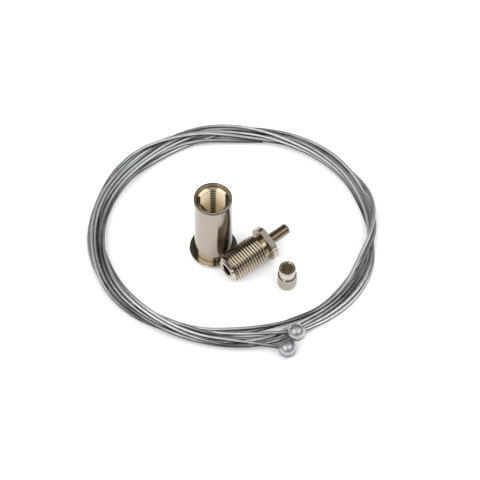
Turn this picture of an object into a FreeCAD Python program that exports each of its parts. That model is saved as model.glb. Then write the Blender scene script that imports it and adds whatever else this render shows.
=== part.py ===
import FreeCAD, Part
import math
import os
import Sketcher
from FreeCAD import Placement, Rotation, Vector

# A hanging kit for a lamp or a sign, laid out on a table: two coiled wire ropes, each with a ball
# pressed on its end, round a threaded sleeve, the threaded plug that screws into it and a small
# stepped bush. Millimetres, +Z up, the table at zero height, the origin under the middle of the kit.

doc = FreeCAD.newDocument("hanging_kit")
sheet = doc.addObject("Spreadsheet::Sheet", "Size")

SIZES = {
    # where the pieces stand, from the origin
    "coil_middle_x": 1.29,
    "coil_middle_y": 1.7,
    "sleeve_x": -5.67,
    "sleeve_y": -3.66,
    "plug_nose_x": -1.41,
    "plug_nose_y": -15.39,
    "plug_turn": 38.1,
    "plug_roll": 17.3,
    "bush_x": 18.6,
    "bush_y": -17.51,
    # the sleeve, a tube with a flange at its foot
    "sleeve_outer": 12.5,
    "sleeve_height": 30.0,
    "sleeve_flange": 16.0,
    "sleeve_flange_height": 1.5,
    "sleeve_floor": 3.0,
    "sleeve_relief_bottom": 14.0,
    "sleeve_relief_top": 15.6,
    "sleeve_mouth_depth": 1.4,
    "sleeve_mouth": 10.4,
    "sleeve_mouth_flare": 0.55,
    "rope_hole": 2.0,
    "ball_seat": 6.4,
    "edge_break": 0.15,
    # the large thread, cut into the sleeve and round the plug
    "thread_outer": 10.0,
    "thread_core": 8.92,
    "thread_pitch": 1.0,
    # the plug, from its nose to the tip of its stud
    "nose_outer": 7.6,
    "nose_edge": 0.25,
    "nose_bore": 4.4,
    "nose_bore_depth": 8.0,
    "nose_bore_tip": 1.3,
    "nose_bore_flare": 0.3,
    "lead_in": 1.45,
    "thread_length": 12.0,
    "neck_outer": 8.0,
    "neck_length": 2.1,
    "plug_flange": 12.0,
    "plug_flange_length": 2.0,
    "across_flats": 10.0,
    "stud_outer": 4.0,
    "stud_core": 3.24,
    "stud_pitch": 0.7,
    "stud_length": 8.1,
    "stud_neck": 3.1,
    "stud_neck_length": 0.7,
    "stud_tip_edge": 0.5,
    # the threads' grooves, in shares of the pitch
    "groove_floor": 0.25,
    "groove_opening": 0.985,
    "inner_groove_floor": 0.125,
    "inner_groove_opening": 0.86,
    "groove_overcut": 0.1,
    "groove_start": 0.6,
    # the bush, a body with a thinner tube on top
    "bush_body": 6.3,
    "bush_foot": 5.75,
    "bush_body_height": 6.4,
    "bush_taper_height": 1.6,
    "bush_foot_edge": 0.35,
    "bush_shoulder_edge": 0.3,
    "bush_tube": 5.5,
    "bush_height": 9.8,
    "bush_bore": 4.1,
    "bush_bore_flare": 0.3,
    # the ropes and the ball on the end of each
    "rope_diameter": 1.2,
    "ball_diameter": 6.0,
    "ball_upper_x": 21.4,
    "ball_upper_y": -39.9,
    "ball_upper_z": 6.3,
    "ball_lower_x": 18.5,
    "ball_lower_y": -44.05,
    "ball_lower_z": 3.0,
    "upper_exit_turn": 178.0,
    "upper_exit_drop": 5.0,
    "lower_exit_turn": 168.0,
    "lower_exit_drop": 0.0,
    "rope_past_ball": 1.6,
    "rope_tail": 2.4,
    # the coil that both ropes are wound in
    "coil_radius": 43.58,
    "coil_oval": 2.7,
    "coil_oval_turn": 12.7,
    "coil_lobe": 0.41,
    "coil_lobe_turn": 146.9,
    "coil_join_angle": -105.0,
    "coil_quarters": 14,
    "strand_step": 1.72,
    "layer_step": 1.7,
    "strand_spread": 0.25,
    "strand_spread_angle": 283.0,
    "coil_depth": 4.6,
    "reverse_dip": 0.35,
}

for row, (alias, value) in enumerate(SIZES.items(), start=1):
    sheet.set(f"A{row}", alias)
    sheet.set(f"B{row}", str(value))
    sheet.setAlias(f"B{row}", alias)
doc.recompute()


def size(alias):
    return float(sheet.get(alias))


def radians(alias):
    return math.radians(size(alias))


# Turned pieces

def plane_of(body, role):
    return next(item for item in body.Origin.OriginFeatures if item.Role == role)


def sketch_in(body, name, role):
    sketch = body.newObject("Sketcher::SketchObject", name)
    sketch.AttachmentSupport = [(plane_of(body, role), "")]
    sketch.MapMode = "FlatFace"
    return sketch


def closed_outline(sketch, corners):
    """Joins the corners with lines. Each corner is a pair of expressions, across and up."""
    count = len(corners)
    for i in range(count):
        start = Vector(i, i * i, 0)
        end = Vector((i + 1) % count, ((i + 1) % count) ** 2, 0)
        sketch.addGeometry(Part.LineSegment(start, end), False)
    for i in range(count):
        sketch.addConstraint(Sketcher.Constraint("Coincident", i, 2, (i + 1) % count, 1))
    for i, (across, up) in enumerate(corners):
        for kind, axis, expression in (("DistanceX", -2, across), ("DistanceY", -1, up)):
            if expression == "0":
                sketch.addConstraint(Sketcher.Constraint("PointOnObject", i, 1, axis))
                continue
            index = sketch.addConstraint(Sketcher.Constraint(kind, -1, 1, i, 1, 1.0))
            sketch.setExpression(f"Constraints[{index}]", expression)


def turned(body, corners):
    """Turns an outline about the body's Z axis."""
    sketch = sketch_in(body, body.Name + "_outline", "XZ_Plane")
    closed_outline(sketch, corners)
    feature = body.newObject("PartDesign::Revolution", body.Name + "_turned")
    feature.Profile = sketch
    feature.ReferenceAxis = (sketch, ["V_Axis"])
    feature.Angle = 360
    doc.recompute()
    return feature


def cut_thread(body, name, inner, outer, inner_width, outer_width, start, pitch, length):
    """Cuts a groove of trapezium section along a helix. The widths are shares of the pitch."""
    sketch = sketch_in(body, name + "_section", "XZ_Plane")
    closed_outline(sketch, [
        (inner, f"{start} - {pitch} * {inner_width} / 2"),
        (outer, f"{start} - {pitch} * {outer_width} / 2"),
        (outer, f"{start} + {pitch} * {outer_width} / 2"),
        (inner, f"{start} + {pitch} * {inner_width} / 2"),
    ])
    helix = body.newObject("PartDesign::SubtractiveHelix", name)
    helix.Profile = sketch
    helix.ReferenceAxis = (sketch, ["V_Axis"])
    helix.Mode = 0
    helix.setExpression("Pitch", pitch)
    helix.setExpression("Height", length)
    helix.Angle = 0
    helix.LeftHanded = False
    helix.Reversed = False
    doc.recompute()
    return helix


def make_sleeve():
    body = doc.addObject("PartDesign::Body", "sleeve")
    top = "Size.sleeve_height"
    mouth_bottom = f"{top} - Size.sleeve_mouth_depth"
    rim = "Size.sleeve_outer / 2"
    flange = "Size.sleeve_flange / 2"
    core = "Size.thread_core / 2"
    mouth = "Size.sleeve_mouth / 2"
    turned(body, [
        ("Size.rope_hole / 2 + Size.edge_break", "0"),
        (f"{flange} - Size.edge_break", "0"),
        (flange, "Size.edge_break"),
        (flange, "Size.sleeve_flange_height - Size.edge_break"),
        (f"{flange} - Size.edge_break", "Size.sleeve_flange_height"),
        (rim, "Size.sleeve_flange_height"),
        (rim, f"{top} - Size.edge_break"),
        (f"{rim} - Size.edge_break", top),
        (f"{mouth} + Size.sleeve_mouth_flare", top),
        (mouth, f"{top} - Size.sleeve_mouth_flare"),
        (mouth, mouth_bottom),
        (core, f"{mouth_bottom} - (Size.sleeve_mouth - Size.thread_core) / 4"),
        (core, "Size.sleeve_relief_top"),
        (mouth, "Size.sleeve_relief_top"),
        (mouth, "Size.sleeve_relief_bottom"),
        (core, "Size.sleeve_relief_bottom"),
        (core, "Size.sleeve_floor"),
        ("Size.ball_seat / 2", "Size.sleeve_floor"),
        ("Size.rope_hole / 2", "Size.sleeve_flange_height"),
        ("Size.rope_hole / 2", "Size.edge_break"),
    ])
    middle = "(Size.sleeve_relief_bottom + Size.sleeve_relief_top) / 2"
    length = f"{top} - Size.sleeve_mouth_depth / 2 - {middle}"
    cut_thread(body, "sleeve_thread", f"{core} - Size.groove_overcut * Size.thread_pitch",
               "Size.thread_outer / 2", "Size.inner_groove_opening", "Size.inner_groove_floor",
               middle, "Size.thread_pitch", length)
    body.setExpression(".Placement.Base.x", "Size.sleeve_x")
    body.setExpression(".Placement.Base.y", "Size.sleeve_y")
    return body


def make_plug():
    body = doc.addObject("PartDesign::Body", "plug")
    thread = "Size.thread_outer / 2"
    thread_end = "Size.lead_in + Size.thread_length"
    neck_end = f"{thread_end} + Size.neck_length"
    flange_end = f"{neck_end} + Size.plug_flange_length"
    flange = "Size.plug_flange / 2"
    tip = f"{flange_end} + Size.stud_length"
    turned(body, [
        ("0", "Size.nose_bore_depth + Size.nose_bore_tip"),
        ("Size.nose_bore / 2", "Size.nose_bore_depth"),
        ("Size.nose_bore / 2", "Size.nose_bore_flare"),
        ("Size.nose_bore / 2 + Size.nose_bore_flare", "0"),
        ("Size.nose_outer / 2 - Size.nose_edge", "0"),
        ("Size.nose_outer / 2", "Size.nose_edge"),
        (thread, "Size.lead_in"),
        (thread, thread_end),
        ("Size.neck_outer / 2", f"{thread_end} + (Size.thread_outer - Size.neck_outer) / 4"),
        ("Size.neck_outer / 2", neck_end),
        (f"{flange} - Size.edge_break", neck_end),
        (flange, f"{neck_end} + Size.edge_break"),
        (flange, f"{flange_end} - Size.edge_break"),
        (f"{flange} - Size.edge_break", flange_end),
        ("Size.stud_neck / 2", flange_end),
        ("Size.stud_neck / 2", f"{flange_end} + Size.stud_neck_length"),
        ("Size.stud_outer / 2", f"{flange_end} + Size.stud_neck_length"),
        ("Size.stud_outer / 2", f"{tip} - Size.stud_tip_edge"),
        ("Size.stud_outer / 2 - Size.stud_tip_edge", tip),
        ("0", tip),
    ])
    cut_thread(body, "plug_thread", "Size.thread_core / 2",
               f"{thread} + Size.groove_overcut * Size.thread_pitch",
               "Size.groove_floor", "Size.groove_opening",
               "Size.groove_start * Size.thread_pitch", "Size.thread_pitch", thread_end)
    cut_thread(body, "stud_thread", "Size.stud_core / 2",
               "Size.stud_outer / 2 + Size.groove_overcut * Size.stud_pitch",
               "Size.groove_floor", "Size.groove_opening",
               f"{flange_end} + Size.groove_start * Size.stud_pitch", "Size.stud_pitch", "Size.stud_length")
    flat = body.newObject("PartDesign::SubtractiveBox", "flat")
    flat.AttachmentSupport = [(plane_of(body, "XY_Plane"), "")]
    flat.MapMode = "FlatFace"
    flat.setExpression("Length", "Size.plug_flange")
    flat.setExpression("Width", "Size.plug_flange * 2")
    flat.setExpression("Height", "Size.plug_flange_length")
    flat.setExpression(".AttachmentOffset.Base.x", "Size.across_flats / 2")
    flat.setExpression(".AttachmentOffset.Base.y", "-Size.plug_flange")
    flat.setExpression(".AttachmentOffset.Base.z", neck_end)
    doc.recompute()
    other_flat = body.newObject("PartDesign::Mirrored", "other_flat")
    other_flat.Originals = [flat]
    other_flat.MirrorPlane = (plane_of(body, "YZ_Plane"), [""])
    body.Tip = other_flat
    doc.recompute()
    return body


def plug_placement():
    """The plug lies on a crest of its thread and on a corner of its flange, below one flat."""
    thread = size("thread_outer") / 2
    flange = size("plug_flange") / 2
    flat_half_angle = math.acos(size("across_flats") / 2 / flange)
    corner = flange * math.cos(flat_half_angle - radians("plug_roll"))
    front = size("lead_in")
    back = size("lead_in") + size("thread_length") + size("neck_length")
    tilt = math.atan2(corner - thread, back - front)
    nose_height = thread * math.cos(tilt) - front * math.sin(tilt)
    along = Vector(math.cos(tilt) * math.cos(radians("plug_turn")),
                   math.cos(tilt) * math.sin(radians("plug_turn")),
                   math.sin(tilt))
    level = Vector(0, 0, 1).cross(along).normalize()
    up = along.cross(level)
    flat_normal = up * math.cos(radians("plug_roll")) - level * math.sin(radians("plug_roll"))
    turn = Rotation(flat_normal, along.cross(flat_normal), along, "ZXY")
    return Placement(Vector(size("plug_nose_x"), size("plug_nose_y"), nose_height), turn)


def make_bush():
    body = doc.addObject("PartDesign::Body", "bush")
    outer = "Size.bush_body / 2"
    bore = "Size.bush_bore / 2"
    turned(body, [
        (f"{bore} + Size.bush_bore_flare", "0"),
        ("Size.bush_foot / 2 - Size.bush_foot_edge", "0"),
        ("Size.bush_foot / 2", "Size.bush_foot_edge"),
        (outer, "Size.bush_taper_height"),
        (outer, "Size.bush_body_height - Size.bush_shoulder_edge"),
        (f"{outer} - Size.bush_shoulder_edge", "Size.bush_body_height"),
        ("Size.bush_tube / 2", "Size.bush_body_height"),
        ("Size.bush_tube / 2", "Size.bush_height - Size.edge_break"),
        ("Size.bush_tube / 2 - Size.edge_break", "Size.bush_height"),
        (f"{bore} + Size.bush_bore_flare", "Size.bush_height"),
        (bore, "Size.bush_height - Size.bush_bore_flare"),
        (bore, "Size.bush_bore_flare"),
    ])
    body.setExpression(".Placement.Base.x", "Size.bush_x")
    body.setExpression(".Placement.Base.y", "Size.bush_y")
    return body


# The coil. Both ropes wind clockwise seen from above, side by side, in two layers: inwards in the
# upper layer, then down to the lower one while the spiral reverses, and outwards in the lower one.

def bundle_radius(angle):
    oval = size("coil_oval") * math.cos(2 * angle - radians("coil_oval_turn"))
    lobe = size("coil_lobe") * math.cos(3 * angle - radians("coil_lobe_turn"))
    return size("coil_radius") + oval + lobe


def strand_step(angle):
    """The distance between neighbouring strands, widest where the bundle fans out."""
    fan = (1 + math.cos(angle - radians("strand_spread_angle"))) / 2
    return size("strand_step") * (1 + size("strand_spread") * fan)


def strand_point(start_slot, reversal, quarters):
    """The point of a rope after so many quarter turns of the coil."""
    angle = radians("coil_join_angle") - quarters * math.pi / 2
    lower = size("rope_diameter") / 2
    upper = lower + size("layer_step")
    x = quarters - (reversal - 1)
    edge = start_slot + (reversal - 1) / 2
    if x <= 0:
        slot = edge + x / 2
        height = upper
    elif x >= 2:
        slot = edge - (x - 2) / 2
        height = lower
    else:
        slot = edge + x / 2 - x * x / 4 + size("reverse_dip") * (x * (2 - x)) ** 2
        height = upper - (upper - lower) * (x / 2) ** 2 * (3 - x)
    radius = bundle_radius(angle) + strand_step(angle) * (size("coil_depth") / 2 - slot)
    return Vector(size("coil_middle_x") + radius * math.cos(angle),
                  size("coil_middle_y") + radius * math.sin(angle),
                  height)


def strand_direction(start_slot, reversal, quarters):
    small = 0.001
    before = strand_point(start_slot, reversal, quarters - small)
    after = strand_point(start_slot, reversal, quarters + small)
    return (after - before).normalize()


def arc_between(start, corner, end):
    """The arc from start to end whose tangents meet at corner."""
    chord = end - start
    to_chord = (start + end) / 2 - corner
    reach = (corner - start).Length
    half_turn = math.acos(max(-1.0, min(1.0, chord.Length / 2 / reach)))
    if to_chord.Length < 1e-6:
        return Part.LineSegment(start, end).toShape()
    middle = corner + to_chord.normalize() * reach * math.tan(half_turn / 2)
    return Part.Arc(start, middle, end).toShape()


def biarc(start, start_direction, end, end_direction):
    """Two tangent arcs that leave start and reach end along the given directions."""
    across = end - start
    both = start_direction + end_direction
    a = 4 - both.dot(both)
    b = across.dot(both)
    c = across.dot(across)
    reach = (math.sqrt(b * b + a * c) - b) / a if a > 1e-9 else c / (2 * b)
    first = start + start_direction * reach
    second = end - end_direction * reach
    joint = (first + second) / 2
    return [arc_between(start, first, joint), arc_between(joint, second, end)]


def rope_route(ball, exit_direction, start_slot, reversal):
    """The rope's middle line: through the ball, into the coil, round it, and a short straight end."""
    past_ball = size("ball_diameter") / 2 + size("rope_past_ball")
    start = ball - exit_direction * rope_end_depth()
    leave = ball + exit_direction * past_ball
    edges = [Part.LineSegment(start, leave).toShape()]
    point = strand_point(start_slot, reversal, 0)
    direction = strand_direction(start_slot, reversal, 0)
    edges += biarc(leave, exit_direction, point, direction)
    for quarter in range(1, int(size("coil_quarters")) + 1):
        next_point = strand_point(start_slot, reversal, quarter)
        next_direction = strand_direction(start_slot, reversal, quarter)
        edges += biarc(point, direction, next_point, next_direction)
        point = next_point
        direction = next_direction
    edges.append(Part.LineSegment(point, point + direction * size("rope_tail")).toShape())
    return Part.Wire(edges)


def rope_end_depth():
    """How far beyond the ball's middle the rope's end lies, flush with the ball's bore."""
    ball = size("ball_diameter") / 2
    rope = size("rope_diameter") / 2
    return math.sqrt(ball * ball - rope * rope)


def make_rope(name, ball, exit_direction, start_slot, reversal):
    route = doc.addObject("Part::Feature", name + "_route")
    route.Shape = rope_route(ball, exit_direction, start_slot, reversal)
    section = doc.addObject("Part::Circle", name + "_section")
    section.setExpression("Radius", "Size.rope_diameter / 2")
    start = ball - exit_direction * rope_end_depth()
    section.Placement = Placement(start, Rotation(Vector(0, 0, 1), exit_direction))
    rope = doc.addObject("Part::Sweep", name)
    rope.Sections = [section]
    rope.Spine = (route, [])
    rope.Solid = True
    rope.Frenet = False
    doc.recompute()
    return rope, route


def make_ball(name, middle, exit_direction):
    """A ball with the rope's bore through it."""
    sphere = doc.addObject("Part::Sphere", name + "_sphere")
    sphere.setExpression("Radius", "Size.ball_diameter / 2")
    bore = doc.addObject("Part::Cylinder", name + "_bore")
    bore.setExpression("Radius", "Size.rope_diameter / 2")
    bore.setExpression("Height", "Size.ball_diameter * 2")
    turn = Rotation(Vector(0, 0, 1), exit_direction)
    sphere.Placement = Placement(middle, turn)
    bore.Placement = Placement(middle - exit_direction * size("ball_diameter"), turn)
    ball = doc.addObject("Part::Cut", name)
    ball.Base = sphere
    ball.Tool = bore
    return ball


def spot(name):
    return Vector(size(name + "_x"), size(name + "_y"), size(name + "_z"))


def exit_direction(name):
    turn = radians(name + "_exit_turn")
    drop = radians(name + "_exit_drop")
    return Vector(math.cos(drop) * math.cos(turn), math.cos(drop) * math.sin(turn), -math.sin(drop))


def least_gap(points, others, skip):
    """The least distance between points further apart along the rope than skip places."""
    least = math.inf
    for i, point in enumerate(points):
        rest = others[i + skip:] if others is points else others
        for other in rest:
            least = min(least, (point - other).Length)
    return least


sleeve = make_sleeve()
plug = make_plug()
plug.Placement = plug_placement()
bush = make_bush()
upper_out = exit_direction("upper")
lower_out = exit_direction("lower")
rope_a, route_a = make_rope("rope_a", spot("ball_upper"), upper_out, start_slot=1, reversal=6)
rope_b, route_b = make_rope("rope_b", spot("ball_lower"), lower_out, start_slot=0, reversal=8)
ball_a = make_ball("ball_a", spot("ball_upper"), upper_out)
ball_b = make_ball("ball_b", spot("ball_lower"), lower_out)
doc.recompute()

for item in doc.Objects:
    if "Invalid" in item.State or "Error" in item.State:
        raise RuntimeError(f"{item.Name} is {item.State}")

nodes = [sleeve, plug, bush, rope_a, rope_b, ball_a, ball_b]
for node in nodes:
    node.Label = node.Name
    shape = node.Shape
    if shape.isNull() or not shape.isValid() or len(shape.Solids) != 1:
        raise RuntimeError(f"{node.Name} has no single valid solid")
    print(node.Name, "volume", round(shape.Volume, 2), "faces", len(shape.Faces))

section_area = math.pi * (size("rope_diameter") / 2) ** 2
samples = {}
for rope, route in ((rope_a, route_a), (rope_b, route_b)):
    length = route.Shape.Length
    radii = [edge.Curve.Radius for edge in route.Shape.Edges if hasattr(edge.Curve, "Radius")]
    samples[rope.Name] = route.Shape.discretize(Distance=1.0)
    print(rope.Name, "length", round(length, 1), "least radius", round(min(radii), 1),
          "volume over section times length", round(rope.Shape.Volume / section_area / length, 4))
thickness = size("rope_diameter")
for first, second in (("rope_a", "rope_a"), ("rope_b", "rope_b"), ("rope_a", "rope_b")):
    least = least_gap(samples[first], samples[second], skip=20)
    print("least gap", first, second, round(least - thickness, 3))

os.makedirs("parts", exist_ok=True)
box = FreeCAD.BoundBox()
for node in nodes:
    node.Shape.exportStep(f"parts/{node.Name}.step")
    box.add(node.Shape.optimalBoundingBox(False))
print("box", box)
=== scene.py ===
import math

import bmesh
import bpy
from mathutils import Matrix, Vector


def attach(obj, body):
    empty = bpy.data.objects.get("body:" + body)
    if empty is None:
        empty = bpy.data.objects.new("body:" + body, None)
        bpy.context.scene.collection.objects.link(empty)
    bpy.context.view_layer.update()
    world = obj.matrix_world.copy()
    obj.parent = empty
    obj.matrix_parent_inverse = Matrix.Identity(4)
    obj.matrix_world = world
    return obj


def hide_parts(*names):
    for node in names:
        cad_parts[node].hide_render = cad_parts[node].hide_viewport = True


# A hanging kit laid out on a table: two wire ropes in one loose coil, with a ball on the end of
# each, round a nickel-plated sleeve, its threaded plug and a small stepped bush.

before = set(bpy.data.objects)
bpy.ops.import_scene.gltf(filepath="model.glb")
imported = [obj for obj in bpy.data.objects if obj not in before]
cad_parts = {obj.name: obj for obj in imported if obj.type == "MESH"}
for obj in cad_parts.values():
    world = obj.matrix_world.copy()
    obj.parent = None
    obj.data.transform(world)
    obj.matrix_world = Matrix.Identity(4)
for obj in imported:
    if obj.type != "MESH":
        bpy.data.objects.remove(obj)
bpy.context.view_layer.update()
MM = 0.001

# The places and sizes of the CAD model, in millimetres. Widths are radii.
SLEEVE_FOOT = Vector((-5.67, -3.66, 0))
SLEEVE_TOP = 30.0
SLEEVE_MOUTH = 5.2
SLEEVE_TUBE = 6.25
SLEEVE_FLANGE = 8.0
SLEEVE_RIM_MIDDLE = 5.75

PLUG_NOSE = Vector((-1.41, -15.39, 4.915))
PLUG_TURN = math.radians(38.1)
PLUG_TILT = math.radians(3.086)
PLUG_ROLL = math.radians(17.3)
PLUG_EULER = tuple((Matrix.Rotation(PLUG_TURN, 3, "Z")
                    @ Matrix.Rotation(math.pi / 2 - PLUG_TILT, 3, "Y")
                    @ Matrix.Rotation(PLUG_ROLL, 3, "Z")).to_euler())
THREAD_CREST = 5.0
THREAD_END = 13.45
NECK = 4.0
FLANGE_END = 17.55
STUD_CREST = 2.0

BUSH_FOOT = Vector((18.6, -17.51, 0))
BUSH_BORE = 2.05
BUSH_TUBE = 2.75
BUSH_BODY = 3.15
BUSH_TAPER = ((2.525, 0.0), (2.875, 0.35), (BUSH_BODY, 1.6))
BUSH_SHOULDER = 6.4
BUSH_TOP = 9.8
BUSH_CHAMFER = 0.3
BUSH_RIM_CHAMFER = 0.15
BUSH_RIM_MIDDLE = 2.45

BALL_UPPER = Vector((21.4, -39.9, 6.3))
BALL_LOWER = Vector((18.5, -44.05, 3.0))
BALL_RADIUS = 3.0
ROPE = 1.2

# The bush's knurl, which only the scene has
KNURLS = 24
KNURL_SLOPE = 7.6
KNURL_DEPTH = 0.11
KNURL_FOOT = 1.7
KNURL_END = 6.0
KNURL_TOP = 6.2
KNURL_ROWS = 44
STEPS_PER_KNURL = 8


# Shader maths

class Socket:
    """A number or a colour that varies over a surface, with the sums that the materials use."""

    def __init__(self, shader, link):
        self.shader = shader
        self.link = link

    def __add__(self, other):
        return self.shader.maths("ADD", self, other)

    def __radd__(self, other):
        return self.shader.maths("ADD", other, self)

    def __sub__(self, other):
        return self.shader.maths("SUBTRACT", self, other)

    def __rsub__(self, other):
        return self.shader.maths("SUBTRACT", other, self)

    def __mul__(self, other):
        return self.shader.maths("MULTIPLY", self, other)

    def __rmul__(self, other):
        return self.shader.maths("MULTIPLY", other, self)


class Finish:
    """A material or a world, and the methods that add nodes to it."""

    def __init__(self, owner):
        self.owner = owner
        owner.use_nodes = True
        self.tree = owner.node_tree
        self.tree.nodes.clear()

    def node(self, kind, settings=None, values=(), output=0):
        """values is a list for the first sockets, or a dict by socket name or number."""
        made = self.tree.nodes.new(kind)
        for name, value in (settings or {}).items():
            setattr(made, name, value)
        pairs = values.items() if isinstance(values, dict) else enumerate(values)
        for key, value in pairs:
            if isinstance(value, Socket):
                self.tree.links.new(value.link, made.inputs[key])
            else:
                made.inputs[key].default_value = value
        return Socket(self, made.outputs[output]) if made.outputs else None

    def maths(self, operation, *values):
        return self.node("ShaderNodeMath", {"operation": operation}, values)

    def rise(self, value, low, high, start=0.0, end=1.0):
        """A smooth step from start to end while the value goes from low to high."""
        return self.node("ShaderNodeMapRange", {"interpolation_type": "SMOOTHSTEP"}, {
            "Value": value, "From Min": low, "From Max": high, "To Min": start, "To Max": end})

    def ramp(self, value, *stops):
        """A colour that changes with a value. A stop is a place and its red, green and blue."""
        made = self.node("ShaderNodeValToRGB", {}, [value])
        elements = made.link.node.color_ramp.elements
        while len(elements) > 1:
            elements.remove(elements[-1])
        for i, (place, *colour) in enumerate(stops):
            element = elements[0] if i == 0 else elements.new(place)
            element.position = place
            element.color = (*colour, 1)
        return made

    def place(self):
        """The place in the object's own coordinates."""
        return self.node("ShaderNodeTexCoord", output=3)

    def upward(self):
        """How far the surface faces up, from -1 to 1."""
        facing = self.node("ShaderNodeTexCoord", output=1)
        return self.node("ShaderNodeSeparateXYZ", {}, [facing], output=2)

    def clouds(self, scale, detail):
        """Cloudy noise, about 0.5."""
        return self.node("ShaderNodeTexNoise", {}, {
            "Vector": self.place(), "Scale": scale, "Detail": detail})

    def bump(self, height):
        """The normal of a surface whose height is given in millimetres."""
        return self.node("ShaderNodeBump", {}, {"Height": height, "Distance": MM})

    def surface(self, **values):
        names = {name.replace("_", " "): value for name, value in values.items()}
        shader = self.node("ShaderNodeBsdfPrincipled", {}, names)
        self.node("ShaderNodeOutputMaterial", {}, {"Surface": shader})


def new_finish(name):
    return Finish(bpy.data.materials.new(name))


# Objects

def new_object(name, data):
    made = bpy.data.objects.new(name, data)
    bpy.context.collection.objects.link(made)
    return made


def mesh_object(name, shape, finish):
    mesh = bpy.data.meshes.new(name)
    shape.to_mesh(mesh)
    shape.free()
    mesh.materials.append(finish.owner)
    return new_object(name, mesh)


def toward(azimuth, elevation):
    """A direction, from its angle round from +X and its angle above the table."""
    azimuth, elevation = math.radians(azimuth), math.radians(elevation)
    level = math.cos(elevation)
    return Vector((level * math.cos(azimuth), level * math.sin(azimuth), math.sin(elevation)))


# The camera and the light, placed for the photograph's view

PHOTO_MIDDLE = Vector((3.10, -0.25, 0)) * MM
CAMERA_DISTANCE = 0.9
CAMERA_ELEVATION = math.radians(57)
PICTURE_WIDTH = 0.3336 * 480 * MM
SENSOR = 36.0
FLOOR_RADIUS = 12.0
SOFTBOX_DISTANCE = 1.3


def place_camera():
    data = bpy.data.cameras.new("camera")
    data.sensor_width = SENSOR
    data.lens = SENSOR * CAMERA_DISTANCE / PICTURE_WIDTH
    data.clip_start = 0.05
    camera = new_object("camera", data)
    back = Vector((0, -math.cos(CAMERA_ELEVATION), math.sin(CAMERA_ELEVATION)))
    camera.location = PHOTO_MIDDLE + back * CAMERA_DISTANCE
    camera.rotation_mode = "QUATERNION"
    camera.rotation_quaternion = (-back).to_track_quat("-Z", "Y")
    bpy.context.scene.camera = camera


def make_floor():
    shape = bmesh.new()
    bmesh.ops.create_circle(shape, cap_ends=True, segments=48, radius=FLOOR_RADIUS)
    finish = new_finish("floor")
    finish.surface(Base_Color=(0.97, 0.97, 0.97, 1), Roughness=0.9)
    floor = mesh_object("floor", shape, finish)


def add_softbox(name, direction, size, power):
    data = bpy.data.lights.new(name, "AREA")
    data.shape = "RECTANGLE"
    data.size, data.size_y = size
    data.energy = power
    lamp = new_object(name, data)
    lamp.location = direction * SOFTBOX_DISTANCE
    lamp.rotation_mode = "QUATERNION"
    lamp.rotation_quaternion = (-direction).to_track_quat("-Z", "Y")


def make_light():
    """White light all round, and for reflections a dark room with a softbox on either side."""
    room = Finish(bpy.data.worlds.new("studio"))
    bpy.context.scene.world = room.owner
    direction = room.node("ShaderNodeTexCoord")
    height = room.node("ShaderNodeSeparateXYZ", {}, [direction], output=2)
    tone = room.ramp(height, (0.00, 0.55, 0.55, 0.55), (0.12, 0.34, 0.34, 0.34),
                     (0.35, 0.05, 0.05, 0.05), (0.86, 0.045, 0.045, 0.045),
                     (0.93, 0.60, 0.60, 0.60))
    reflected = room.node("ShaderNodeLightPath", output=3)
    white = room.node("ShaderNodeBackground", {}, {"Color": (1, 1, 1, 1), "Strength": 1.1})
    dark = room.node("ShaderNodeBackground", {}, {"Color": tone, "Strength": 1.0})
    mixed = room.node("ShaderNodeMixShader", {}, [reflected, white, dark])
    room.node("ShaderNodeOutputWorld", {}, {"Surface": mixed})
    add_softbox("softbox_right", toward(-20, 54), (1.40, 0.65), 4.8)
    add_softbox("softbox_left", toward(215, 50), (1.40, 0.85), 6.5)
    bpy.context.scene.view_settings.view_transform = "Standard"


# The coil

COIL_MIDDLE = Vector((0.86, 1.82, 0))
COIL_RADIUS = 43.58
COIL_OVAL = 2.70
COIL_OVAL_TURN = math.radians(12.7)
COIL_LOBE = 0.41
COIL_LOBE_TURN = math.radians(146.9)
JOIN = -105
STEP = 15
STEPS_PER_TURN = 360 // STEP
FIRST_STEP = -1
LAST_STEP = 84
ROPE_PAST_BALL = 1.6

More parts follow.
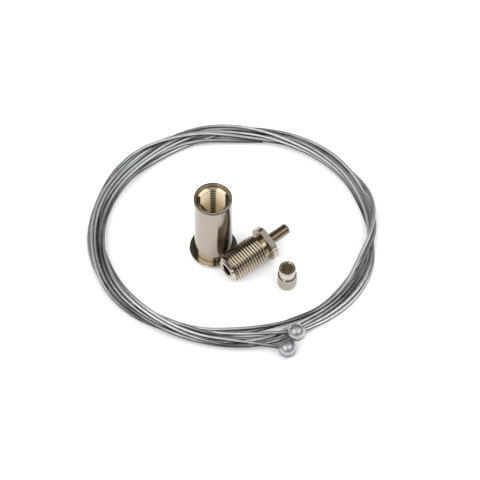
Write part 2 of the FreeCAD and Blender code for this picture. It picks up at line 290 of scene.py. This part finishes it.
# How far outside the bundle's middle line each rope lies, in millimetres, every 15 degrees from
# the join on. Two rows are a turn, and the last turn is a half one.
LANES = {
    "rope_a": (
        -1.10, 0.70, 0.95, 0.35, -0.80, -2.10, -2.70, -2.75, -2.25, -1.20, 0.50, 1.60,
        1.85, 2.10, 1.75, 1.15, 1.50, 1.95, -0.15, 0.00, -0.40, 0.00, 1.65, 1.70,
        1.90, 1.70, 2.60, 3.00, 1.70, 0.85, 1.00, 0.95, 1.90, 1.75, 0.15, -1.20,
        -2.15, -3.15, -2.50, -1.90, -1.80, 0.20, 3.10, 4.00, 3.30, 2.35, 3.90, 4.00,
        2.65, 1.00, -0.15, -0.95, -2.10, -2.85, -3.25, -3.75, -3.35, -2.45, -1.20, 0.40,
        0.40, 0.40, 0.30, -0.15, 0.05, 0.80, -0.95, -2.30, -2.00, -3.30, -3.00, -2.30,
        -1.80, -1.60, -1.60, -1.95, -1.50, -0.60, 0.40, 0.40, 0.90, 1.20, 0.60, 0.30,
        0.00,
    ),
    "rope_b": (
        1.20, -0.20, -1.40, -2.50, -2.85, -1.70, -0.85, -1.20, -0.90, 0.80, 1.15, -0.35,
        -0.75, -0.50, -1.20, -1.55, -1.20, -0.30, 1.10, 1.30, 0.90, 0.90, 3.30, 3.10,
        2.80, 2.50, 2.00, 1.70, 0.60, -0.10, -0.25, -0.05, 0.35, 2.60, 2.30, 1.00,
        -0.95, -2.50, -2.50, -2.00, -1.60, 0.40, 2.70, 2.80, 2.00, 1.10, 0.60, 0.40,
        -0.50, -1.45, -0.80, 1.60, 2.35, 2.00, 1.35, 2.00, 2.15, 0.70, -0.90, -2.15,
        -3.30, -1.80, 0.00, 1.80, 2.90, 0.80, -1.90, -1.15, -0.95, -2.10, -3.10, -3.30,
        -2.10, -2.00, -1.00, 0.25, -0.25, -1.10, -1.75, -2.00, -1.70, -1.40, -2.10, -3.40,
        -3.00,
    ),
}
# The same for the ropes' way from the balls to the join
WAY_IN = {"rope_a": -1.20, "rope_b": 1.80}

# Which turn of which rope lies on which, from the floor up, every 15 degrees from the join on
PILES = (
    "a4 b4 a1 a2 b3 b2 b1 a3", "a4 b4 a1 a2 b3 b2 b1 a3", "a4 b4 b3 a2 a1 b2 b1 a3",
    "a4 b4 b3 a2 a1 b2 b1 a3", "a4 b1 b4 b3 a3 b2 a2 a1", "a4 b4 b1 b3 a3 b2 a2 a1",
    "a4 b4 b1 b3 a3 a1 b2 a2", "a4 b4 a1 a3 b1 b2 a2 b3", "a4 b4 a3 a1 b1 b2 a2 b3",
    "a4 a3 b4 a1 b1 b2 a2 b3", "a4 a3 a1 b4 b1 b2 a2 b3", "a4 a1 a3 b4 b3 a2 b1 b2",
    "a4 b4 b3 a1 a3 b1 a2 b2", "b3 a1 a3 a2 b1 b2", "b3 a1 a3 a2 b2 b1",
    "b3 a1 a3 a2 b2 b1", "a2 b2 b1 a3 a1 b3", "a2 b2 b1 a3 a1 b3",
    "a2 b2 b1 a3 a1 b3", "a2 b2 b1 a3 a1 b3", "a2 b2 b1 a3 a1 b3",
    "b2 b1 a2 a3 a1 b3", "b2 b1 a2 a1 a3 b3", "b2 b1 a2 a1 a3 b3 a0 b0",
)
# How far apart two ropes stay where one crosses the other, as a share of their thickness
PRESSED = 0.6
# How many times the ropes' heights are settled, and in millimetres how much a rope sags between
# its neighbouring places and how far it may hang above the strand below
SETTLING_ROUNDS = 8
SAG = 0.10
MOST_LIFT = 0.8


def bundle_radius(angle):
    """The radius of the bundle's middle line, which is a little oval."""
    oval = COIL_OVAL * math.cos(2 * angle - COIL_OVAL_TURN)
    lobe = COIL_LOBE * math.cos(3 * angle - COIL_LOBE_TURN)
    return COIL_RADIUS + oval + lobe


def angle_of(step):
    return math.radians(JOIN - step * STEP)


def coil_radius(rope, step):
    lane = WAY_IN[rope] if step < 0 else LANES[rope][step]
    return bundle_radius(angle_of(step)) + lane


def pile_order():
    """All places along both ropes, each after those that it lies on."""
    order = []
    for step in range(FIRST_STEP, LAST_STEP + 1):
        for rope in ("rope_a", "rope_b"):
            name = rope[-1] + str(step // STEPS_PER_TURN + 1)
            level = PILES[step % STEPS_PER_TURN].split().index(name)
            order.append((level, rope, step))
    return [place[1:] for place in sorted(order)]


def rest_heights():
    """Lays each place of each rope on those below it, and lets it come down gently from there.
    A rope that crosses another one between two places lies on it there too."""
    order = pile_order()
    rank = {place: laid for laid, place in enumerate(order)}
    radius = {place: coil_radius(*place) for place in order}
    height = {place: ROPE / 2 for place in order}

    def height_on(place, below, near):
        """The height at which a place lies on a lower one, or on it half way to the next one."""
        over = (place[0], place[1] + near)
        under = (below[0], below[1] + near)
        if rank.get(under, len(order)) >= rank.get(over, -1):
            return 0.0
        side = radius[below] - radius[place]
        next_side = radius[under] - radius[over]
        apart = abs(side + next_side) / 2
        if apart >= ROPE or (near and side * next_side >= 0):
            return 0.0
        rest = (height[below] + height[under]) / 2
        return rest + (PRESSED if near else 1.0) * math.sqrt(ROPE ** 2 - apart ** 2)

    for _ in range(SETTLING_ROUNDS):
        for laid, place in enumerate(order):
            rope, step = place
            crossed = [below for below in order[:laid] if (below[1] - step) % STEPS_PER_TURN == 0]
            rests = [height_on(place, below, near) for below in crossed for near in (-1, 0, 1)]
            need = max([ROPE / 2, *rests])
            beside = [height[(rope, near)] for near in (step - 1, step + 1)
                      if FIRST_STEP <= near <= LAST_STEP]
            gentle = sum(beside) / len(beside) - SAG
            height[place] = max(need, min(gentle, need + MOST_LIFT))
    return radius, height


def rope_points(rope, ball, out, radius, height):
    """The control points of a rope, from its end in the ball on."""
    end_depth = math.sqrt(BALL_RADIUS ** 2 - (ROPE / 2) ** 2)
    points = [ball - out * end_depth, ball, ball + out * (BALL_RADIUS + ROPE_PAST_BALL)]
    for step in range(FIRST_STEP, LAST_STEP + 1):
        angle = angle_of(step)
        level = Vector((math.cos(angle), math.sin(angle), 0)) * radius[(rope, step)]
        points.append(COIL_MIDDLE + level + Vector((0, 0, height[(rope, step)])))
    return points


def new_spline(data, kind, points):
    spline = data.splines.new(kind)
    spline.points.add(len(points) - 1)
    for place, point in zip(spline.points, points):
        place.co = (*point, 1)
    return spline


def spline_line(name, points):
    """The smooth line that has these points as its control points, as a list of its own points."""
    data = bpy.data.curves.new(name, "CURVE")
    data.dimensions = "3D"
    data.resolution_u = 12
    spline = new_spline(data, "NURBS", [point * MM for point in points])
    spline.order_u = 3
    spline.use_endpoint_u = True
    made = bpy.data.objects.new(name, data)
    mesh = bpy.data.meshes.new_from_object(made)
    line = [vertex.co.copy() for vertex in mesh.vertices]
    bpy.data.objects.remove(made)
    bpy.data.curves.remove(data)
    bpy.data.meshes.remove(mesh)
    return line


def evenly(line, step):
    """Points along a line, a step apart."""
    points = [line[0]]
    left = step
    for a, b in zip(line, line[1:]):
        gap = (b - a).length
        done = 0.0
        while gap - done >= left:
            done += left
            points.append(a.lerp(b, done / gap))
            left = step
        left -= gap - done
    points.append(line[-1])
    return points


# The wires of a rope, in millimetres: how many there are, how long one turn of them is, how far
# apart the sections are, and how far their crests and valleys lie from the middle

WIRES = 12
WIRE_LAY = 8.6
WIRE_STEP = 0.76
WIRE_CREST = 0.60
WIRE_VALLEY = 0.50


def wire_section():
    """The rope's section: a ring of wires, each with a crest and a valley on either side."""
    data = bpy.data.curves.new("wire_section", "CURVE")
    data.dimensions = "2D"
    corners = []
    count = WIRES * 3
    for i in range(count):
        reach = (WIRE_VALLEY if i % 3 == 0 else WIRE_CREST) * MM
        angle = 2 * math.pi * i / count
        corners.append((reach * math.cos(angle), reach * math.sin(angle), 0))
    new_spline(data, "POLY", corners).use_cyclic_u = True
    return new_object("wire_section", data)


def twist_wires(name, line, section, finish):
    """The ring of wires, twisted along the rope's line, as a mesh."""
    data = bpy.data.curves.new(name, "CURVE")
    data.dimensions = "3D"
    data.bevel_mode = "OBJECT"
    data.bevel_object = section
    data.use_fill_caps = True
    spline = new_spline(data, "POLY", line)
    run = 0.0
    before = line[0]
    for place, point in zip(spline.points, line):
        run += (point - before).length
        before = point
        place.tilt = 2 * math.pi * run / (WIRE_LAY * MM)
    made = new_object(name, data)
    bpy.context.view_layer.update()
    twisted = made.evaluated_get(bpy.context.evaluated_depsgraph_get())
    mesh = bpy.data.meshes.new_from_object(twisted)
    bpy.data.objects.remove(made)
    bpy.data.curves.remove(data)
    shape = bmesh.new()
    shape.from_mesh(mesh)
    bpy.data.meshes.remove(mesh)
    bmesh.ops.remove_doubles(shape, verts=shape.verts, dist=1e-7)
    bmesh.ops.recalc_face_normals(shape, faces=shape.faces)
    for face in shape.faces:
        face.smooth = True
    return mesh_object(name, shape, finish)


def wire_finish():
    """Galvanised wire with dull patches, and painted shade: the valleys between the wires darker
    than their crests, and the undersides darker."""
    finish = new_finish("rope_wire")
    around = finish.node("ShaderNodeSeparateXYZ", {}, [finish.node("ShaderNodeUVMap")])
    # Painted shade: a wave round the rope, dark in the valleys between the wires and light on
    # their crests.
    lobe = finish.maths("PINGPONG", around * WIRES, 0.5) * 2
    patches = finish.clouds(260.0, 3.0)
    # Painted shade: the rope darker where its surface faces down.
    painted_underside_shade = finish.rise(finish.upward(), 0.12, 0.96, 0.12, 1.0)
    tone = finish.ramp(
        painted_underside_shade * (0.38 + 0.72 * lobe) * (0.75 + 0.5 * patches),
        (0.00, 0.01, 0.01, 0.012), (0.35, 0.13, 0.135, 0.14),
        (0.75, 0.80, 0.81, 0.82), (1.00, 0.95, 0.96, 0.97))
    finish.surface(Base_Color=tone, Metallic=0.92, Roughness=0.34)
    return finish


def make_ropes():
    finish = wire_finish()
    section = wire_section()
    radius, height = rest_heights()
    starts = {"rope_a": ("ball_a", BALL_UPPER, toward(178, -5)),
              "rope_b": ("ball_b", BALL_LOWER, toward(168, 0))}
    for rope, (ball_node, ball, out) in starts.items():
        points = rope_points(rope, ball, out, radius, height)
        line = evenly(spline_line(rope + "_line", points), WIRE_STEP * MM)
        piece = twist_wires(rope + "_wires", line, section, finish)
        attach(piece, "wire_coil")
        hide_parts(rope)
    bpy.data.objects.remove(section)


# The fittings

def knurl(sine, angle, height):
    """The diamond pattern round the bush's body, from -1 in its grooves to 1 on its points."""
    return (sine(angle * KNURLS + height * KNURL_SLOPE)
            * sine(angle * KNURLS - height * KNURL_SLOPE))


def make_bush(finish):
    """The bush, turned from its outline, with a diamond knurl pressed into its body."""
    rows = [KNURL_FOOT + (KNURL_END - KNURL_FOOT) * row / KNURL_ROWS
            for row in range(KNURL_ROWS + 1)]
    outline = [
        (BUSH_BORE + BUSH_CHAMFER, 0), *BUSH_TAPER, *((BUSH_BODY, row) for row in rows),
        (BUSH_BODY, BUSH_SHOULDER - BUSH_CHAMFER), (BUSH_BODY - BUSH_CHAMFER, BUSH_SHOULDER),
        (BUSH_TUBE, BUSH_SHOULDER), (BUSH_TUBE, BUSH_TOP - BUSH_RIM_CHAMFER),
        (BUSH_TUBE - BUSH_RIM_CHAMFER, BUSH_TOP), (BUSH_BORE + BUSH_CHAMFER, BUSH_TOP),
        (BUSH_BORE, BUSH_TOP - BUSH_CHAMFER), (BUSH_BORE, BUSH_CHAMFER),
    ]
    shape = bmesh.new()
    corners = [shape.verts.new((reach * MM, 0, height * MM)) for reach, height in outline]
    edges = [shape.edges.new((a, b)) for a, b in zip(corners, corners[1:] + corners[:1])]
    bmesh.ops.spin(shape, geom=corners + edges, axis=(0, 0, 1), cent=(0, 0, 0),
                   steps=KNURLS * STEPS_PER_KNURL, angle=2 * math.pi, use_merge=True)
    for vertex in shape.verts:
        reach, height = vertex.co.xy.length / MM, vertex.co.z / MM
        if reach > BUSH_BODY - 0.01 and KNURL_FOOT < height < KNURL_END:
            pattern = knurl(math.sin, math.atan2(vertex.co.y, vertex.co.x), height)
            vertex.co.xy *= 1 - KNURL_DEPTH * (0.5 - 0.5 * pattern) / BUSH_BODY
    bmesh.ops.recalc_face_normals(shape, faces=shape.faces)
    bmesh.ops.translate(shape, verts=shape.verts, vec=BUSH_FOOT * MM)
    for face in shape.faces:
        face.smooth = True
    piece = mesh_object("knurled_bush", shape, finish)
    piece.data.set_sharp_from_angle(angle=math.radians(35))
    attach(piece, "bush")
    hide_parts("bush")


def in_own_frame(finish, foot, turn=(0, 0, 0)):
    """The distance from a turned piece's axis, its own X and Y, and its height above the foot, in
    millimetres."""
    own = finish.node("ShaderNodeMapping", {"vector_type": "TEXTURE"}, {
        "Vector": finish.place(), "Location": tuple(foot * MM), "Rotation": turn,
        "Scale": (MM, MM, MM)})
    x, y, height = (finish.node("ShaderNodeSeparateXYZ", {}, [own], output=axis)
                    for axis in range(3))
    return finish.maths("SQRT", x * x + y * y), (x, y), height


def round_rim(finish, reach, rim, middle, depth):
    """The normal that rounds a rim across its middle."""
    off_middle = reach - middle
    return finish.bump(-depth * off_middle * off_middle * rim)


def nickel_surface(finish, reach, height, tone_and_painted_shade, warm_tint_and_reflection, rough, normal, metallic=1.0):
    """Nickel plate with fine rings left by the lathe and cloudy patches, on a tone that carries
    painted shade: silvery outside, and golden where the warm tint, partly a painted golden
    reflection, is 1."""
    along = finish.node("ShaderNodeCombineXYZ", {}, [reach, height, 0.0])
    rings = finish.node("ShaderNodeTexNoise", {"noise_dimensions": "2D"}, {
        "Vector": along, "Scale": 4.0, "Detail": 2.0})
    # The given tone, painted shade included, times the lathe's rings and cloudy patches.
    wear_and_painted_shade = tone_and_painted_shade * (0.84 + 0.16 * rings + 0.10 * finish.clouds(180.0, 2.0))
    silver = finish.ramp(wear_and_painted_shade, (0.00, 0.05, 0.035, 0.022), (0.45, 0.28, 0.235, 0.18),
                         (1.00, 0.62, 0.58, 0.54))
    golden = finish.ramp(wear_and_painted_shade, (0.00, 0.05, 0.028, 0.012), (0.45, 0.36, 0.265, 0.14),
                         (1.00, 0.86, 0.76, 0.58))
    # Mixed toward golden by the warm tint and painted golden reflection.
    tone = finish.node("ShaderNodeMix", {"data_type": "RGBA"}, {0: warm_tint_and_reflection, 6: silver, 7: golden},
                       output=2)
    finish.surface(Base_Color=tone, Metallic=metallic, Roughness=rough + 0.10 * rings,
                   Normal=normal)


def sleeve_finish():
    """The tube is a little dull and its rim is rounded. Painted shade: a dark ring round the rim's
    outer edge, and the bore darker, more so further down. The bore and the flange's edge are
    golden, a painted reflection."""
    finish = new_finish("sleeve_nickel")
    rise = finish.rise
    reach, _, height = in_own_frame(finish, SLEEVE_FOOT)
    # Painted shade: the inside of the bore is darker, and darker still further down.
    inside = (rise(reach, SLEEVE_MOUTH + 0.15, SLEEVE_MOUTH)
              * rise(height, SLEEVE_TOP - 1.1, SLEEVE_TOP - 1.5))
    deep_bore_shade = inside * rise(height, SLEEVE_TOP - 3.0, SLEEVE_TOP - 14.0)
    tube = (rise(reach, SLEEVE_TUBE + 0.45, SLEEVE_TUBE + 0.15)
            * rise(reach, SLEEVE_TUBE - 0.05, SLEEVE_TUBE - 0.01))
    rim = (rise(height, SLEEVE_TOP - 0.7, SLEEVE_TOP - 0.5)
           * rise(reach, SLEEVE_MOUTH - 0.05, SLEEVE_MOUTH + 0.05))
    # Painted shade: a dark ring on the rim's outer edge.
    outline = rim * rise(reach, SLEEVE_TUBE - 0.30, SLEEVE_TUBE - 0.15)
    flange = (rise(reach, SLEEVE_TUBE + 0.05, SLEEVE_TUBE + 0.25)
              * rise(reach, SLEEVE_FLANGE - 0.2, SLEEVE_FLANGE - 0.3))
    # A painted golden reflection in the bore and on the flange.
    warm_tint_and_reflection = finish.maths("MAXIMUM", rise(reach, SLEEVE_TUBE - 0.15, SLEEVE_MOUTH + 0.20), flange)
    # Painted shade in the tone: the dark ring on the rim and the darker bore; the tube and the
    # flange are darker too.
    tone_and_painted_shade = 1.0 - 0.38 * tube - 0.65 * outline - 0.26 * inside - 0.42 * deep_bore_shade - 0.22 * flange
    normal = round_rim(finish, reach, rim, SLEEVE_RIM_MIDDLE, 0.7)
    nickel_surface(finish, reach, height, tone_and_painted_shade, warm_tint_and_reflection, 0.07 + 0.12 * rim + 0.02 * tube, normal)
    return finish


def plug_finish():
    """The plating rounds the thread; painted shade darkens the grooves and the neck, and the neck
    is golden, a painted reflection.
    """
    finish = new_finish("plug_nickel")
    rise = finish.rise
    reach, _, height = in_own_frame(finish, PLUG_NOSE, PLUG_EULER)
    on_thread = rise(height, THREAD_END + 0.1, THREAD_END) * rise(reach, NECK + 0.3, NECK + 0.4)
    on_stud = rise(height, FLANGE_END, FLANGE_END + 0.1)
    # Painted shade in the grooves of the thread and the stud.
    painted_groove_shade = (0.55 * on_thread * rise(reach, THREAD_CREST - 0.05, THREAD_CREST - 0.50)
              + 0.30 * on_stud * rise(reach, STUD_CREST - 0.05, STUD_CREST - 0.30))
    neck = (rise(height, THREAD_END, THREAD_END + 0.1) * rise(reach, NECK + 0.6, NECK + 0.5)
            * (1 - on_stud))
    # Painted shade: the neck darker too.
    tone_and_painted_shade = 0.82 - painted_groove_shade - 0.25 * neck
    # A warm tint all over, more on the thread, and on the neck a painted golden reflection.
    warm_tint_and_reflection = 0.30 + 0.20 * on_thread + 0.5 * neck
    normal = finish.bump(-0.6 * reach * on_thread)
    nickel_surface(finish, reach, height, tone_and_painted_shade, warm_tint_and_reflection, 0.10 + 0.08 * on_thread, normal)
    return finish


def bush_finish():
    """A plain tube over a knurled body, with painted shade in the knurl's grooves and a painted
    golden reflection on the shoulder and in the bore.
    """
    finish = new_finish("bush_nickel")
    rise = finish.rise
    reach, (x, y), height = in_own_frame(finish, BUSH_FOOT)
    angle = finish.maths("ARCTAN2", y, x)
    pattern = knurl(lambda value: finish.maths("SINE", value), angle, height)
    knurled = (rise(height, KNURL_TOP, KNURL_TOP - 0.2)
               * rise(reach, BUSH_BODY - 0.20, BUSH_BODY - 0.05))
    inside = rise(reach, BUSH_BORE + 0.30, BUSH_BORE + 0.15)
    shoulder = rise(height, KNURL_TOP - 0.1, KNURL_TOP) * rise(reach, BUSH_TUBE, BUSH_TUBE + 0.10)
    rim = rise(height, BUSH_TOP - 0.3, BUSH_TOP - 0.2) * (1 - inside)
    # Painted shade: the knurled body darker, most in the knurl's grooves.
    tone_and_painted_shade = 0.88 - knurled * (0.12 + 0.34 * (0.5 - 0.5 * pattern))
    # A painted golden reflection on the shoulder and in the bore.
    warm_tint_and_reflection = finish.maths("MAXIMUM", inside, shoulder)
    normal = round_rim(finish, reach, rim, BUSH_RIM_MIDDLE, 0.9)
    nickel_surface(finish, reach, height, tone_and_painted_shade, warm_tint_and_reflection, 0.09 + 0.04 * inside, normal,
                   1.0 - 0.12 * inside)
    return finish


def ball_finish():
    """Satin zinc: mottled, with painted shade that darkens its underside."""
    finish = new_finish("ball_zinc")
    mottle = finish.clouds(900.0, 4.0)
    # Painted shade: the ball darker where its surface faces down.
    shade = finish.rise(finish.upward(), -0.45, 0.60, 0.22, 1.0)
    tone = finish.ramp(
        shade * (0.50 + 0.55 * mottle),
        (0.00, 0.05, 0.05, 0.055), (0.50, 0.24, 0.245, 0.26), (1.00, 0.72, 0.725, 0.74))
    finish.surface(Base_Color=tone, Metallic=0.88, Roughness=0.24 + 0.18 * mottle)
    return finish


place_camera()
make_floor()
make_light()
make_ropes()
make_bush(bush_finish())
zinc = ball_finish()
finishes = {"sleeve": sleeve_finish(), "plug": plug_finish(), "ball_a": zinc, "ball_b": zinc}
for node, finish in finishes.items():
    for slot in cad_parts[node].material_slots:
        slot.material = finish.owner
